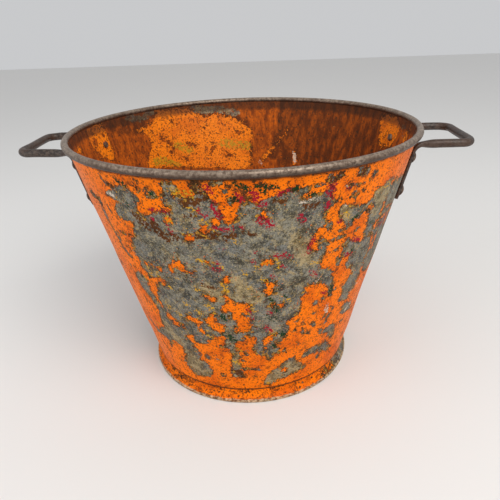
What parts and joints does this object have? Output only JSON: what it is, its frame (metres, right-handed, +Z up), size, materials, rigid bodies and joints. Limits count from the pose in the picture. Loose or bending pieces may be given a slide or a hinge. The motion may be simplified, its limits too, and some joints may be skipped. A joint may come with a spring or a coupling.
{
  "type": "bucket",
  "caption": "Round steel bucket with a tapered wall, rolled rim, fixed rod handles and a flared foot ring, in chipped orange paint over worn grey metal.",
  "frame": {"origin": "on the ground under the middle of the foot ring", "axes": "+X through both handles towards the right handle, +Y towards the far side, +Z up"},
  "size_m": [0.4806, 0.38, 0.281],
  "materials": {
    "painted_sheet": "chipped orange paint over older yellow, red and green coats and mottled grey galvanised sheet",
    "rim_wire_steel": "dull steel wire with light rust",
    "floor_sheet": "worn paint and brown rust",
    "foot_sheet": "chipped orange paint with a worn metal edge",
    "handle_rod": "dark handled steel with brown rust",
    "rivet_steel": "rusty steel with paint left round the heads"
  },
  "bodies": {
    "root": {"body": "painted_sheet", "rim_wire": "rim_wire_steel", "bottom_disc": "floor_sheet", "foot_ring": "foot_sheet", "right_handle": "handle_rod", "left_handle": "handle_rod", "right_front_upper_rivet": "rivet_steel", "right_front_lower_rivet": "rivet_steel", "right_back_upper_rivet": "rivet_steel", "right_back_lower_rivet": "rivet_steel", "left_back_upper_rivet": "rivet_steel", "left_back_lower_rivet": "rivet_steel", "left_front_upper_rivet": "rivet_steel", "left_front_lower_rivet": "rivet_steel"}
  },
  "joints": []
}
